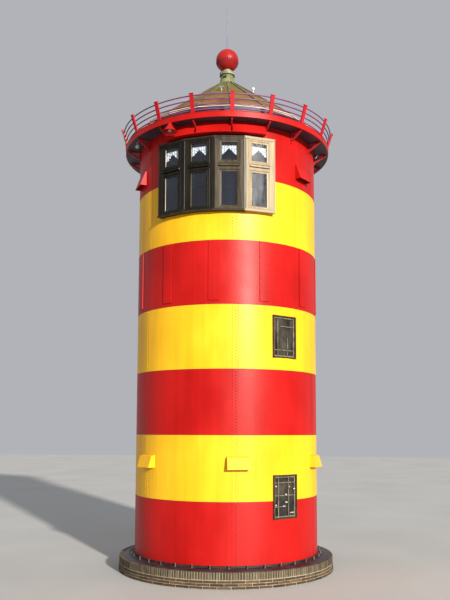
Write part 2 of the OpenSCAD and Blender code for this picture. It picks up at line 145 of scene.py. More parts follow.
def finish(name, low, high, grain=(1, 1, 1), rough=(0.4, 0.55), relief=0.001, fine=12, metallic=0.0,
           specular=0.5):
    """A surface finish: its colour drifts from low to high in clouds of the given size in metres,
    its roughness follows the clouds, and clouds that are fine times smaller raise it by relief."""
    material = bpy.data.materials.new(name)
    material.use_nodes = True
    tree = material.node_tree
    shader = tree.nodes["Principled BSDF"]
    shader.inputs["Metallic"].default_value = metallic
    shader.inputs["Specular IOR Level"].default_value = specular
    place = add_node(tree, "TexCoord")
    scale = add_node(tree, "Mapping", {"Scale": [1 / g for g in grain], "Vector": place.outputs["Object"]})
    clouds = add_node(tree, "TexNoise", {"Scale": 1, "Detail": 6, "Vector": scale.outputs["Vector"]})
    ramp = add_node(tree, "ValToRGB", {"Fac": clouds.outputs["Fac"]}, name="colours")
    for element, position, colour in zip(ramp.color_ramp.elements, (0.36, 0.64), (low, high)):
        element.position = position
        element.color = (*colour, 1)
    tree.links.new(ramp.outputs["Color"], shader.inputs["Base Color"])
    gloss = add_node(tree, "MapRange", {"From Min": 0.35, "From Max": 0.65, "To Min": rough[0],
                                        "To Max": rough[1], "Value": clouds.outputs["Fac"]})
    tree.links.new(gloss.outputs["Result"], shader.inputs["Roughness"])
    small = add_node(tree, "TexNoise", {"Scale": fine, "Detail": 4, "Vector": scale.outputs["Vector"]},
                     name="fine")
    bump = add_node(tree, "Bump", {"Distance": relief, "Height": small.outputs["Fac"]}, name="relief")
    tree.links.new(bump.outputs["Normal"], shader.inputs["Normal"])
    return material


FLOOR_HALF, FLOOR_Z = 60.0, -0.002
floor = new_object(
    "studio_floor",
    [[x * FLOOR_HALF, y * FLOOR_HALF, FLOOR_Z] for x, y in ((-1, -1), (1, -1), (1, 1), (-1, 1))],
    [[0, 1, 2, 3]],
    finish("studio_floor", (0.44, 0.44, 0.43), (0.48, 0.48, 0.47), grain=(3, 3, 3),
           rough=(0.7, 0.8), relief=0.0005), closed=False)


# ---- Brick plinth ----
# Three courses of thin stretcher bricks carry a ring of the same bricks on end. All are laid by
# hand in pale lime mortar, which is the frame's own masonry, and they stand a little proud of it.

upright_low, upright_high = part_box("plinth_upright_bricks")
FOOT_R, PLINTH_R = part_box("plinth_bricks")[1][0], upright_high[0]
UPRIGHT_Z, PLINTH_TOP_Z = upright_low[2], upright_high[2]
BRICK_LENGTH, BRICK_DEPTH, BRICK_THICK, JOINT = 0.240, 0.080, 0.041, 0.009


def about_axis(azimuth):
    """Axes of a place on the tower at each azimuth in degrees, as rows: across, outwards and up. This
    is a left-handed set, so a shape comes out mirrored, and new_object turns its faces outwards."""
    turn = np.radians(np.asarray(azimuth, dtype=float))
    zero, one = np.zeros_like(turn), np.ones_like(turn)
    return np.stack([np.stack([np.cos(turn), np.sin(turn), zero], -1),
                     np.stack([np.sin(turn), -np.cos(turn), zero], -1),
                     np.stack([zero, zero, one], -1)], axis=-2)


def on_tower(azimuth, radius, height):
    """The point at each azimuth in degrees, distance from the axis and height."""
    turn = np.radians(np.asarray(azimuth, dtype=float))
    radius, height = np.broadcast_to(radius, turn.shape), np.broadcast_to(height, turn.shape)
    return np.stack([radius * np.sin(turn), -radius * np.cos(turn), height], axis=-1)


def grid_faces(rows, columns, close_rows=False, close_columns=True):
    """Quads between neighbours of a grid of points that is stored row by row, wrapped where it is closed."""
    row = np.arange(rows if close_rows else rows - 1)[:, None]
    column = np.arange(columns if close_columns else columns - 1)[None, :]
    next_row, next_column = (row + 1) % rows, (column + 1) % columns
    return np.stack([row * columns + column, row * columns + next_column,
                     next_row * columns + next_column, next_row * columns + column],
                    axis=-1).reshape(-1, 4)


def block_shape(width, depth, height, edge):
    """A block about its centre: a rectangle with its corners cut, stacked at four heights and drawn
    in by the same cut at its two ends."""
    levels = []
    for level, inset in ((-0.5, edge), (-0.5, 0), (0.5, 0), (0.5, edge)):
        a, b = width / 2 - inset, depth / 2 - inset
        outline = np.array([[a, edge - b], [a, b - edge], [a - edge, b], [edge - a, b],
                            [-a, b - edge], [-a, edge - b], [edge - a, -b], [a - edge, -b]])
        z = level * height + (0 if inset else -np.sign(level) * edge)
        levels.append(np.column_stack([outline, np.full(8, z)]))
    faces = [*grid_faces(4, 8), np.arange(8)[::-1], np.arange(24, 32)]
    return np.concatenate(levels), faces


def ride_shell(made):
    """Ties a new piece to the tower's one body."""
    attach(made, "root")
    return made


def stamp(name, shape, places, axes, material, tone=None, smooth=False):
    """One object that holds a copy of a small shape at every place, turned to that place's axes.
    tone gives each copy one number, which the material reads as the attribute tone."""
    points, faces = shape
    places = np.asarray(places, dtype=float).reshape(-1, 3)
    axes = np.broadcast_to(axes, (len(places), 3, 3))
    all_points = places[:, None, :] + np.einsum("pk,nkc->npc", points, axes)
    steps = np.arange(len(places)) * len(points)
    all_faces = [face + step for step in steps for face in map(np.asarray, faces)]
    made = new_object(name, all_points, all_faces, material, smooth)
    if tone is not None:
        values = np.repeat(np.asarray(tone, dtype=float), len(points))
        made.data.attributes.new("tone", "FLOAT", "POINT").data.foreach_set("value", values)
    return ride_shell(made)


def brick_finish(name, tones):
    """Fired clay: each brick takes its own colour from the ramp, darkened by pits and soot."""
    material = finish(name, (0.55, 0.55, 0.55), (1.0, 1.0, 1.0), grain=(0.05, 0.05, 0.05),
                      rough=(0.75, 0.9), relief=0.003, fine=5)
    tree = material.node_tree
    own = add_node(tree, "Attribute", attribute_name="tone")
    ramp = add_node(tree, "ValToRGB", {"Fac": own.outputs["Fac"]})
    ramp.color_ramp.elements[0].color = (*tones[0], 1)
    ramp.color_ramp.elements[1].color = (*tones[-1], 1)
    for i, tone in enumerate(tones[1:-1], start=1):
        ramp.color_ramp.elements.new(i / (len(tones) - 1)).color = (*tone, 1)
    mix = add_node(tree, "Mix", {"Factor": 1, "A": ramp.outputs["Color"],
                                 "B": tree.nodes["colours"].outputs["Color"]},
                   data_type="RGBA", blend_type="MULTIPLY")
    tree.links.new(mix.outputs["Result"], tree.nodes["Principled BSDF"].inputs["Base Color"])
    return material


def paint_node(name, material):
    """Gives a frame node its finish in place of the plain one that it came with."""
    mesh = nodes[name].data
    mesh.materials.clear()
    mesh.materials.append(material)


rng = np.random.default_rng(11)
STRETCHER_TONES = [(0.028, 0.012, 0.006), (0.062, 0.030, 0.012), (0.095, 0.048, 0.019),
                   (0.13, 0.078, 0.034)]
UPRIGHT_TONES = [(0.044, 0.028, 0.013), (0.070, 0.047, 0.022), (0.094, 0.066, 0.034),
                 (0.125, 0.094, 0.052)]
PROUD, BRICK_EDGE = 0.004, 0.005
UPRIGHT_DEPTH, UPRIGHT_LIFT = BRICK_DEPTH + 0.006, 0.003

stretcher_rows = 3
stretchers = int(round(2 * np.pi * PLINTH_R / (BRICK_LENGTH + JOINT)))
row_step = UPRIGHT_Z / stretcher_rows
row_of = np.repeat(np.arange(stretcher_rows), stretchers)
stretcher_azimuth = (np.tile(np.arange(stretchers), stretcher_rows) + row_of % 2 / 2) * 360 / stretchers
stretcher_z = (row_of + 0.5) * row_step
stretcher_face_r = FOOT_R + (PLINTH_R - FOOT_R) * stretcher_z / UPRIGHT_Z + PROUD
stretcher_face_r = stretcher_face_r + rng.uniform(-0.0015, 0.0015, len(row_of))
stamp("stretcher_bricks",
      block_shape(BRICK_LENGTH, BRICK_DEPTH, BRICK_THICK, BRICK_EDGE),
      on_tower(stretcher_azimuth, stretcher_face_r - BRICK_DEPTH / 2, stretcher_z),
      about_axis(stretcher_azimuth + rng.uniform(-0.15, 0.15, len(row_of))),
      brick_finish("stretcher_brick", STRETCHER_TONES),
      tone=rng.uniform(0, 1, len(row_of)))

uprights = int(round(2 * np.pi * PLINTH_R / (BRICK_THICK + JOINT)))
upright_azimuth = np.arange(uprights) * 360 / uprights
upright_height = PLINTH_TOP_Z - UPRIGHT_Z - JOINT
upright_face_r = PLINTH_R + PROUD + rng.uniform(-0.002, 0.002, uprights)
stamp("upright_bricks",
      block_shape(BRICK_THICK, UPRIGHT_DEPTH, upright_height, BRICK_EDGE),
      on_tower(upright_azimuth, upright_face_r - UPRIGHT_DEPTH / 2,
               UPRIGHT_Z + JOINT + upright_height / 2 + UPRIGHT_LIFT),
      about_axis(upright_azimuth + rng.uniform(-0.4, 0.4, uprights)),
      brick_finish("upright_brick", UPRIGHT_TONES),
      tone=rng.uniform(0, 1, uprights))

mortar = finish("lime_mortar", (0.17, 0.142, 0.090), (0.31, 0.265, 0.18), grain=(0.12, 0.12, 0.12),
                rough=(0.85, 0.95), relief=0.002)
paint_node("plinth_bricks", mortar)
paint_node("plinth_upright_bricks", mortar)


# ---- Bitumen cover, foot flange and anchor bolts ----
# The masonry inside the bare rim is sealed with a glossy coat of bitumen that runs down from the
# iron foot. Anchor bolts with square washers hold the flange down, one every ten degrees.

FLANGE_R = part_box("base_flange")[1][0]
SHELL_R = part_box("wall_course_1")[1][0]

bitumen = finish("bitumen", (0.012, 0.012, 0.018), (0.055, 0.045, 0.055), grain=(0.35, 0.35, 0.1),
                 rough=(0.25, 0.5), relief=0.008, fine=4, specular=0.12)
paint_node("plinth_cover", bitumen)
foot_iron = finish("foot_iron", (0.014, 0.012, 0.014), (0.060, 0.030, 0.026), grain=(0.2, 0.2, 0.05),
                   rough=(0.35, 0.6), relief=0.003, specular=0.2)
paint_node("base_flange", foot_iron)

galvanised = finish("galvanised_bolt", (0.045, 0.035, 0.033), (0.15, 0.135, 0.12),
                    grain=(0.30, 0.30, 0.30), rough=(0.5, 0.7), relief=0.0005, specular=0.3)
BOLT_R = (SHELL_R + FLANGE_R) / 2 + 0.012
COVER_TOP_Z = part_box("plinth_cover")[1][2]
anchor_azimuth = 9 + np.arange(36) * 10.0


def bolt_shape(radius, nut, length):
    """A hexagonal nut with a threaded end above it: rings of a six-sided outline, then of a round one."""
    turn = np.arange(12) * np.pi / 6
    hexagon = np.where(np.arange(12) % 2, np.cos(np.pi / 6), 1.0)
    rows = [(nut * hexagon, 0), (nut * hexagon, nut), (radius + 0 * turn, nut),
            (radius + 0 * turn, length - radius / 2), (radius * 0.7 + 0 * turn, length)]
    points = np.concatenate([np.stack([r * np.cos(turn), r * np.sin(turn), z + 0 * turn], axis=-1)
                             for r, z in rows])
    faces = [*grid_faces(len(rows), 12), np.arange(12)[::-1], np.arange(12) + 12 * (len(rows) - 1)]
    return points, faces


stamp("anchor_bolts", bolt_shape(0.009, 0.016, 0.060),
      on_tower(anchor_azimuth, BOLT_R, COVER_TOP_Z + 0.006), about_axis(anchor_azimuth),
      galvanised)
stamp("anchor_washers", block_shape(0.07, 0.07, 0.010, 0.002),
      on_tower(anchor_azimuth, BOLT_R, COVER_TOP_Z + 0.002), about_axis(anchor_azimuth),
      foot_iron)

paint_node("ground_floor", finish("floor_concrete", (0.16, 0.15, 0.14), (0.27, 0.26, 0.24),
                                  grain=(0.6, 0.6, 0.6), rough=(0.7, 0.9), relief=0.002))


# ---- Plate courses ----
# Seven bands of iron plates, bent to the shell and riveted. They are brush painted in red and
# yellow outside, with slow dents and faint runs of rain, and coated dark grey inside.

RED_LOW, RED_HIGH = (0.36, 0.004, 0.003), (0.46, 0.007, 0.005)
YELLOW_LOW, YELLOW_HIGH = (0.78, 0.40, 0.008), (0.90, 0.49, 0.015)
INNER_COAT = (0.030, 0.032, 0.040)


def cover(tree, under, colour, share):
    """Lays one colour over another, by a share from 0 to 1."""
    mix = add_node(tree, "Mix", {"B": (*colour, 1), "Factor": share, "A": under}, data_type="RGBA")
    tree.links.new(mix.outputs["Result"], tree.nodes["Principled BSDF"].inputs["Base Color"])


def tower_paint(name, low, high, lined=False):
    """Oil paint on plates: clouds of colour, dark vertical rain runs, dents a metre wide and brush
    marks. A lined plate shows a dark inner coat wherever a point lies inside the shell's face."""
    material = finish(name, low, high, grain=(0.9, 0.9, 1.4), rough=(0.36, 0.46), relief=0.0012,
                      fine=40, specular=0.18)
    tree = material.node_tree
    shader = tree.nodes["Principled BSDF"]
    place = tree.nodes["Texture Coordinate"]
    stretch = add_node(tree, "Mapping", {"Scale": (9, 9, 0.35), "Vector": place.outputs["Object"]})
    runs = add_node(tree, "TexNoise", {"Scale": 1, "Detail": 5, "Vector": stretch.outputs["Vector"]})
    depth = add_node(tree, "MapRange", {"From Min": 0.40, "From Max": 0.62, "To Min": 0.91,
                                        "To Max": 1.0, "Value": runs.outputs["Fac"]})
    weather = add_node(tree, "VectorMath", {0: tree.nodes["colours"].outputs["Color"],
                                            "Scale": depth.outputs["Result"]}, operation="SCALE")
    tree.links.new(weather.outputs["Vector"], shader.inputs["Base Color"])
    if lined:
        flat = add_node(tree, "VectorMath", {0: place.outputs["Object"], 1: (1, 1, 0)},
                        operation="MULTIPLY")
        reach = add_node(tree, "VectorMath", {0: flat.outputs["Vector"]}, operation="LENGTH")
        inside = add_node(tree, "Math", {0: reach.outputs["Value"], 1: SHELL_R - 0.008},
                          operation="LESS_THAN")
        cover(tree, weather.outputs["Vector"], INNER_COAT, inside.outputs["Value"])
    dents = add_node(tree, "Bump", {"Distance": 0.02, "Strength": 0.35,
                                    "Height": tree.nodes["Noise Texture"].outputs["Fac"],
                                    "Normal": tree.nodes["relief"].outputs["Normal"]})
    tree.links.new(dents.outputs["Normal"], shader.inputs["Normal"])
    return material


red_paint = tower_paint("red_paint", RED_LOW, RED_HIGH)
yellow_paint = tower_paint("yellow_paint", YELLOW_LOW, YELLOW_HIGH)
red_plates = tower_paint("red_plates", RED_LOW, RED_HIGH, lined=True)
yellow_plates = tower_paint("yellow_plates", YELLOW_LOW, YELLOW_HIGH, lined=True)
COURSES = 7
for course in range(1, COURSES + 1):
    paint_node(f"wall_course_{course}", red_plates if course % 2 else yellow_plates)
course_z = [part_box(f"wall_course_{course}")[0][2] for course in range(1, COURSES + 1)]
course_z.append(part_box(f"wall_course_{COURSES}")[1][2])


# ---- Rivets and seams of the courses ----
# Each course has six upright seams. The plates meet on a cover plate inside, held by a double row
# of round-headed rivets, and a thin dark line shows where they meet: painted shade with some dirt.
# Openings interrupt the seams.

SEAM_AZIMUTH = 14.2 + 60 * np.arange(6)
RIVET_PITCH = 0.057
RIVET_ROWS = (-0.040, -0.105)
BAY_HALF, HOOD_CLEAR = 37.0, 0.03
RIVET_R, RIVET_LIFT = 0.015, 0.0075
LINE_W, LINE_DEPTH, LINE_STOP = 0.009, 0.004, 0.01
bay_low_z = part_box("bay_sill")[0][2] - 0.06
bay_high_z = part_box("gallery_deck")[0][2]
hood_low, hood_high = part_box("lower_vent_hoods")


def from_front(azimuth):
    """How many degrees each azimuth lies from the middle of the bay, on either side."""
    return np.abs((azimuth + 180) % 360 - 180)


def seam_is_open(azimuth, z):
    """True where nothing covers a seam: no bay in front of it, and no lower vent hood on it."""
    in_bay = (from_front(azimuth) < BAY_HALF) & (z > bay_low_z) & (z < bay_high_z)
    under_hood = (z > hood_low[2] - HOOD_CLEAR) & (z < hood_high[2] + HOOD_CLEAR)
    return ~(in_bay | under_hood)


def dome_shape(radius, height):
    """A rivet head that points outwards: rings of a flattened half sphere, with a flat foot."""
    sides, lift = 8, np.radians([0, 38, 70])
    turn = np.arange(sides) * 2 * np.pi / sides
    points = np.stack([radius * np.cos(lift)[:, None] * np.sin(turn),
                       np.broadcast_to(height * np.sin(lift)[:, None], (3, sides)),
                       radius * np.cos(lift)[:, None] * np.cos(turn)], axis=-1).reshape(-1, 3)
    faces = [*grid_faces(3, sides), np.arange(sides)[::-1], np.arange(2 * sides, 3 * sides)]
    return points, faces


# Dark finishes of the seam and course lines: painted shade along the joints, with some dirt.
seam_shade_finish = {"red": finish("red_seam_shade", (0.10, 0.004, 0.004), (0.22, 0.008, 0.007),
                             grain=(0.1, 0.1, 0.3), rough=(0.5, 0.7), relief=0.0005),
               "yellow": finish("yellow_seam_shade", (0.46, 0.24, 0.012), (0.66, 0.38, 0.020),
                                grain=(0.1, 0.1, 0.3), rough=(0.5, 0.7), relief=0.0005)}
for colour, paint, courses in (("red", red_paint, (1, 3, 7)), ("yellow", yellow_paint, (2, 4, 6))):
    azimuths, heights = [], []
    for course in courses:
        low, high = course_z[course - 1], course_z[course]
        z = np.arange(low + RIVET_PITCH, high - RIVET_PITCH / 2, RIVET_PITCH)
        for row, offset in enumerate(RIVET_ROWS):
            along = z + row * RIVET_PITCH / 2
            pair = np.meshgrid(SEAM_AZIMUTH + np.degrees(offset / SHELL_R), along[along < high - 0.02])
            azimuths.append(pair[0].ravel())
            heights.append(pair[1].ravel())
    azimuths, heights = np.concatenate(azimuths), np.concatenate(heights)
    keep = seam_is_open(azimuths, heights)
    azimuths, heights = azimuths[keep], heights[keep]
    stamp(f"{colour}_rivets", dome_shape(RIVET_R, RIVET_LIFT),
          on_tower(azimuths, SHELL_R - 0.0008, heights), about_axis(azimuths), paint,
          smooth=True)

    spans = []
    for course in courses:
        low, high = course_z[course - 1], course_z[course]
        cuts = [(low, high)]
        if low < hood_low[2] < high:
            cuts = [(low, hood_low[2] - LINE_STOP), (hood_high[2] + LINE_STOP, high)]
        spans += [(azimuth, a, b) for azimuth in SEAM_AZIMUTH for a, b in cuts]
    spans = np.array(spans)
    fronts = (from_front(spans[:, 0]) < BAY_HALF) & (spans[:, 2] > bay_low_z)
    spans[fronts, 2] = np.minimum(spans[fronts, 2], bay_low_z)
    spans = spans[spans[:, 2] - spans[:, 1] > 0.05]
    centres = on_tower(spans[:, 0], SHELL_R, (spans[:, 1] + spans[:, 2]) / 2)
    sizes = np.stack([np.full(len(spans), LINE_W), np.full(len(spans), LINE_DEPTH),
                      spans[:, 2] - spans[:, 1]], axis=-1)
    stamp(f"{colour}_seam_lines", block_shape(1, 1, 1, 0.1), centres,
          about_axis(spans[:, 0]) * sizes[:, :, None], seam_shade_finish[colour])


def hoop(name, profile, material, turns=144, span=None):
    """A profile of (radius, height) points carried round the axis, all the way or over a span of
    azimuths, which then gets closed ends."""
    profile = np.asarray(profile, dtype=float)
    closed = span is None
    azimuth = (np.arange(turns) * 360 / turns if closed else np.linspace(span[0], span[1], turns))
    points = on_tower(azimuth[:, None] + 0 * profile[None, :, 0], profile[None, :, 0],
                      profile[None, :, 1])
    faces = list(grid_faces(turns, len(profile), close_rows=closed))
    if not closed:
        last = (turns - 1) * len(profile)
        faces += [np.arange(len(profile))[::-1], np.arange(len(profile)) + last]
    return ride_shell(new_object(name, points, faces, material))


# The bands overlap by a few millimetres, and a thin ring at each overlap is painted dark as the
# shadow and dirt along it. A line stops at the bay and at a stair window that crosses it.
BAY_EDGE = 36.5
WINDOW_AZIMUTH, WINDOW_HALF = 44.0, 9.1
window_spans = [(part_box(name)[0][2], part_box(name)[1][2])
                for name in ("lower_stair_window", "upper_stair_window")]
for course in range(1, COURSES):
    z = course_z[course]
    span = (BAY_EDGE, 360 - BAY_EDGE) if bay_low_z < z < bay_high_z else None
    if any(low < z < high for low, high in window_spans):
        span = (WINDOW_AZIMUTH + WINDOW_HALF, WINDOW_AZIMUTH - WINDOW_HALF + 360)
    hoop(f"course_line_{course}",
         [(SHELL_R - 0.004, z - 0.005), (SHELL_R + 0.0022, z - 0.005),
          (SHELL_R + 0.0022, z + 0.004), (SHELL_R - 0.004, z + 0.006)],
         seam_shade_finish["red"], span=span)


# ---- Seam straps and vent hoods ----
# Flat iron straps stand over the seams of the fifth course, held by two rows of low round screws.
# The hoods are folded from sheet and open underneath.

paint_node("seam_straps", red_paint)
strap_low, strap_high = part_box("seam_straps")
STRAP_R = -strap_low[1]
SCREW_INSET, SCREW_SIDE = 0.035, 2.5
screw_z = np.linspace(strap_low[2] + SCREW_INSET, strap_high[2] - SCREW_INSET, 9)
screw_azimuth, screw_z = (grid.ravel() for grid in np.meshgrid(
    np.concatenate([np.arange(12) * 30.0 + side for side in (-SCREW_SIDE, SCREW_SIDE)]), screw_z))
stamp("strap_screws", dome_shape(0.013, 0.005), on_tower(screw_azimuth, STRAP_R - 0.0006, screw_z),
      about_axis(screw_azimuth), red_paint, smooth=True)
paint_node("lower_vent_hoods", yellow_paint)
paint_node("upper_vent_hoods", red_paint)


# ---- Stair windows ----
# Each is a steel casement set deep in the plates, in a dark putty-lined frame. Thin bars divide
# the dusty panes, and the lower one carries small pale fittings.

casement_steel = finish("casement_steel", (0.022, 0.016, 0.006), (0.045, 0.032, 0.013),
                        grain=(0.06, 0.06, 0.1), rough=(0.4, 0.65), relief=0.0008, specular=0.15)
bar_paint = finish("window_bar_paint", (0.085, 0.075, 0.052), (0.19, 0.17, 0.13),
                   grain=(0.04, 0.04, 0.08), rough=(0.4, 0.6), relief=0.0006, specular=0.25)
fitting_metal = finish("pale_fitting", (0.42, 0.38, 0.31), (0.66, 0.61, 0.53),
                       grain=(0.02, 0.02, 0.02), rough=(0.3, 0.5), relief=0.0004, metallic=0.3)
for name in ("lower_stair_window", "upper_stair_window"):
    paint_node(name, casement_steel)


def upright_face(azimuth, radius):
    """The origin, at ground level, and the axes of a flat upright face at an azimuth and a radius."""
    return on_tower(azimuth, radius, 0.0), about_axis(azimuth)


def bars(name, azimuth, radius, rows, material):
    """Square bars on an upright face. Each row is (x, out, z, width, depth, height) about the bar's
    own centre, measured across, outwards and up from the face's origin."""
    rows = np.asarray(rows, dtype=float)
    origin, axes = upright_face(azimuth, radius)
    centres = origin + rows[:, :3] @ axes
    return stamp(name, block_shape(1, 1, 1, 0.1), centres, axes[None] * rows[:, 3:, None],
                 material)


WINDOW_W, FRAME_EDGE = 0.575, 0.030
SASH_OUT, SASH_W, SASH_DEPTH = -0.033, 0.026, 0.024
BAR_W, LOWER_BAR_W, BAR_DEPTH = 0.016, 0.018, 0.02
half = WINDOW_W / 2 - FRAME_EDGE
for name in ("lower", "upper"):
    low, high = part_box(f"{name}_stair_window")
    foot, height = low[2], high[2] - low[2]
    inner = height - 2 * FRAME_EDGE
    rail_in = FRAME_EDGE + 0.012
    rows = [(-half + 0.012, SASH_OUT, foot + height / 2, SASH_W, SASH_DEPTH, inner),
            (half - 0.012, SASH_OUT, foot + height / 2, SASH_W, SASH_DEPTH, inner),
            (0, SASH_OUT, foot + rail_in, 2 * half, SASH_DEPTH, SASH_W),
            (0, SASH_OUT, foot + height - rail_in, 2 * half, SASH_DEPTH, SASH_W)]
    if name == "upper":
        rows += [(-0.150, SASH_OUT, foot + height * 0.50, BAR_W, BAR_DEPTH, inner),
                 (0.090, SASH_OUT, foot + height * 0.26, BAR_W, BAR_DEPTH, inner * 0.48),
                 (0.075, SASH_OUT, foot + height * 0.75, 0.34, BAR_DEPTH, BAR_W),
                 (0.0, SASH_OUT, foot + height * 0.19, 2 * half, BAR_DEPTH, BAR_W)]
    else:
        rows += [(-0.150, SASH_OUT, foot + height * 0.50, LOWER_BAR_W, BAR_DEPTH, inner),
                 (0.095, SASH_OUT, foot + height * 0.50, LOWER_BAR_W, BAR_DEPTH, inner),
                 (0.0, SASH_OUT, foot + height * 0.82, 2 * half, BAR_DEPTH, LOWER_BAR_W),
                 (0.0, SASH_OUT, foot + height * 0.53, 2 * half, BAR_DEPTH, LOWER_BAR_W),
                 (-0.1, SASH_OUT, foot + height * 0.28, half, BAR_DEPTH, BAR_W)]
    bars(f"{name}_window_bars", WINDOW_AZIMUTH, SHELL_R, rows, bar_paint)

lower_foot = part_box("lower_stair_window")[0][2]
bars("window_fittings", WINDOW_AZIMUTH, SHELL_R,
     [(0.018, -0.012, lower_foot + 0.445, 0.030, 0.018, 0.030),
      (0.028, -0.012, lower_foot + 0.305, 0.050, 0.014, 0.022),
      (-0.030, -0.012, lower_foot + 0.235, 0.060, 0.014, 0.016),
      (0.098, -0.012, lower_foot + 0.585, 0.020, 0.020, 0.026),
      (0.215, -0.004, lower_foot + 0.545, 0.040, 0.016, 0.022),
      (0.170, -0.012, lower_foot + 0.110, 0.110, 0.012, 0.016),
      (-0.225, -0.010, lower_foot + 0.260, 0.028, 0.016, 0.026),
      (-0.225, -0.010, lower_foot + 0.600, 0.028, 0.016, 0.026)],
     fitting_metal)


MIRROR_LEAST, MIRROR_RISE = 0.05, 0.92


def pane_glass(name, tint, dust_low, dust_high, dust_share, mirror_rough):
    """Glass that light passes straight through: clear by tint, veiled by a cloudy film of dust, and
    a mirror by MIRROR_LEAST + MIRROR_RISE (1 - cos)^5, which grows towards low angles and waves a little."""
    material = finish(name, dust_low, dust_high, grain=(0.25, 0.25, 0.35), rough=(0.15, 0.3),
                      relief=0.0, specular=0.2)
    tree = material.node_tree
    dust = tree.nodes["Noise Texture"].outputs["Fac"]
    clear = add_node(tree, "BsdfTransparent", {"Color": (*tint, 1)})
    share = add_node(tree, "MapRange", {"From Min": 0.35, "From Max": 0.65, "To Min": dust_share[0],
                                        "To Max": dust_share[1], "Value": dust})
    veiled = add_node(tree, "MixShader", {"Fac": share.outputs["Result"], 1: clear.outputs["BSDF"],
                                          2: tree.nodes["Principled BSDF"].outputs["BSDF"]})
    mirror = add_node(tree, "BsdfGlossy", {"Roughness": mirror_rough})
    waves = add_node(tree, "Bump", {"Distance": 0.004, "Height": dust})
    tree.links.new(waves.outputs["Normal"], mirror.inputs["Normal"])
    tilt = add_node(tree, "LayerWeight", {"Blend": 0.5})
    rise = add_node(tree, "Math", {0: tilt.outputs["Facing"], 1: 5}, operation="POWER")
    reflected = add_node(tree, "Math", {0: rise.outputs["Value"], 1: MIRROR_RISE, 2: MIRROR_LEAST},
                         operation="MULTIPLY_ADD")
    whole = add_node(tree, "MixShader", {"Fac": reflected.outputs["Value"], 1: veiled.outputs["Shader"],
                                         2: mirror.outputs["BSDF"]})
    tree.links.new(whole.outputs["Shader"], tree.nodes["Material Output"].inputs["Surface"])
    return material


paint_node("stair_window_glass",
           pane_glass("dusty_glass", (0.55, 0.55, 0.5), (0.014, 0.011, 0.009), (0.066, 0.054, 0.038),
                      dust_share=(0.55, 0.9), mirror_rough=0.12))


# ---- Bay window ----
# Four flat timber windows stand on a moulded sill. Each has a casing, a raised bead round its two
# lights and a stepped sash, all in dark oil paint. Covers close the mitres between them.

FACET_STEP = 17.4
FACET_AZIMUTH = (np.arange(4) - 1.5) * FACET_STEP
CORNER_AZIMUTH = (np.arange(5) - 2) * FACET_STEP
bay_foot_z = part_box("bay_sill")[1][2]
bay_top_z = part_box("bay_head")[0][2]
CORNER_R = 1.950
FACET_R = CORNER_R * np.cos(np.radians(FACET_STEP / 2))
STILE, BOTTOM_RAIL, LOWER_LIGHT, TRANSOM, UPPER_LIGHT = 0.105, 0.028, 0.726, 0.149, 0.420
LIGHT_W = 2 * CORNER_R * np.sin(np.radians(FACET_STEP / 2)) - 2 * STILE
lower_light_z = bay_foot_z + BOTTOM_RAIL
upper_light_z = lower_light_z + LOWER_LIGHT + TRANSOM


def bay_oil_paint(name, low, high):
    """Satin oil paint on timber, with its grain drawn out upwards."""
    return finish(name, low, high, grain=(0.05, 0.05, 0.5), rough=(0.34, 0.44), relief=0.0008, fine=6,
                  specular=0.2)


# All frames share one dark brown coat. The copies on the third window and, brighter, the fourth are
# painted light where the sun glares on the satin paint, and the boards at the fourth window are too.
bay_paint = bay_oil_paint("bay_paint", (0.006, 0.0045, 0.003), (0.014, 0.011, 0.007))
half_lit_bay_paint = bay_oil_paint("half_lit_bay_paint", (0.036, 0.026, 0.014), (0.070, 0.052, 0.030))
sunlit_bay_paint = bay_oil_paint("sunlit_bay_paint", (0.24, 0.18, 0.10), (0.38, 0.30, 0.18))
facet_paint = {1: bay_paint, 2: bay_paint, 3: half_lit_bay_paint, 4: sunlit_bay_paint}


# The boards' colour where the sun glares on them: painted light.
SUNLIT_BOARD = (0.32, 0.25, 0.15)


def part_sunlit(material, edge_x, blend):
    """Bay paint that turns to a painted sunlit colour across a soft line at edge_x in metres."""
    tree = material.node_tree
    parts = add_node(tree, "SeparateXYZ", {"Vector": tree.nodes["Texture Coordinate"].outputs["Object"]})
    right = add_node(tree, "MapRange", {"From Min": edge_x - blend, "From Max": edge_x + blend,
                                        "Value": parts.outputs["X"]})
    cover(tree, tree.nodes["colours"].outputs["Color"], SUNLIT_BOARD, right.outputs["Result"])
    return material


LAST_CORNER_X = CORNER_R * np.sin(np.radians(FACET_STEP))
board_paint = part_sunlit(bay_oil_paint("bay_board_paint", (0.014, 0.011, 0.007), (0.030, 0.023, 0.014)),
                            edge_x=LAST_CORNER_X, blend=0.012)
for name in ("bay_sill", "bay_head", "bay_cheeks"):
    paint_node(name, board_paint)
for facet, paint in facet_paint.items():
    paint_node(f"bay_frame_{facet}", paint)


def light_moulding(width, height, centre_z, profile):
    """A moulding round one light: a profile of (outwards from the opening's edge, out of the face)
    points carried round the rectangle and mitred at its corners."""
    profile = np.asarray(profile, dtype=float)
    corner = np.array([[1, -1], [1, 1], [-1, 1], [-1, -1]])
    spread = profile[None, :, 0]
    x = corner[:, 0:1] * (width / 2 + spread)
    z = centre_z + corner[:, 1:2] * (height / 2 + spread)
    y = np.broadcast_to(profile[None, :, 1], x.shape)
    return np.stack([x, y, z], axis=-1).reshape(-1, 3), grid_faces(4, len(profile), close_rows=True)


BEAD = [(0.012, -0.004), (0.030, -0.004), (0.030, 0.003), (0.026, 0.006), (0.012, 0.005)]
SASH = [(0.001, -0.010), (0.001, -0.017), (-0.040, -0.017), (-0.040, -0.013), (-0.036, -0.009),
        (-0.008, -0.006), (-0.002, -0.010)]


def join_shapes(shapes):
    """Several point and face lists as one, with each list's faces counted on from those before it."""
    points, faces, count = [], [], 0
    for shape_points, shape_faces in shapes:
        points.append(shape_points)
        faces += [np.asarray(face) + count for face in shape_faces]
        count += len(shape_points)
    return np.concatenate(points), faces


def moved(shape, x, y, z):
    """A shape carried across, outwards and up."""
    return shape[0] + np.array([x, y, z]), shape[1]


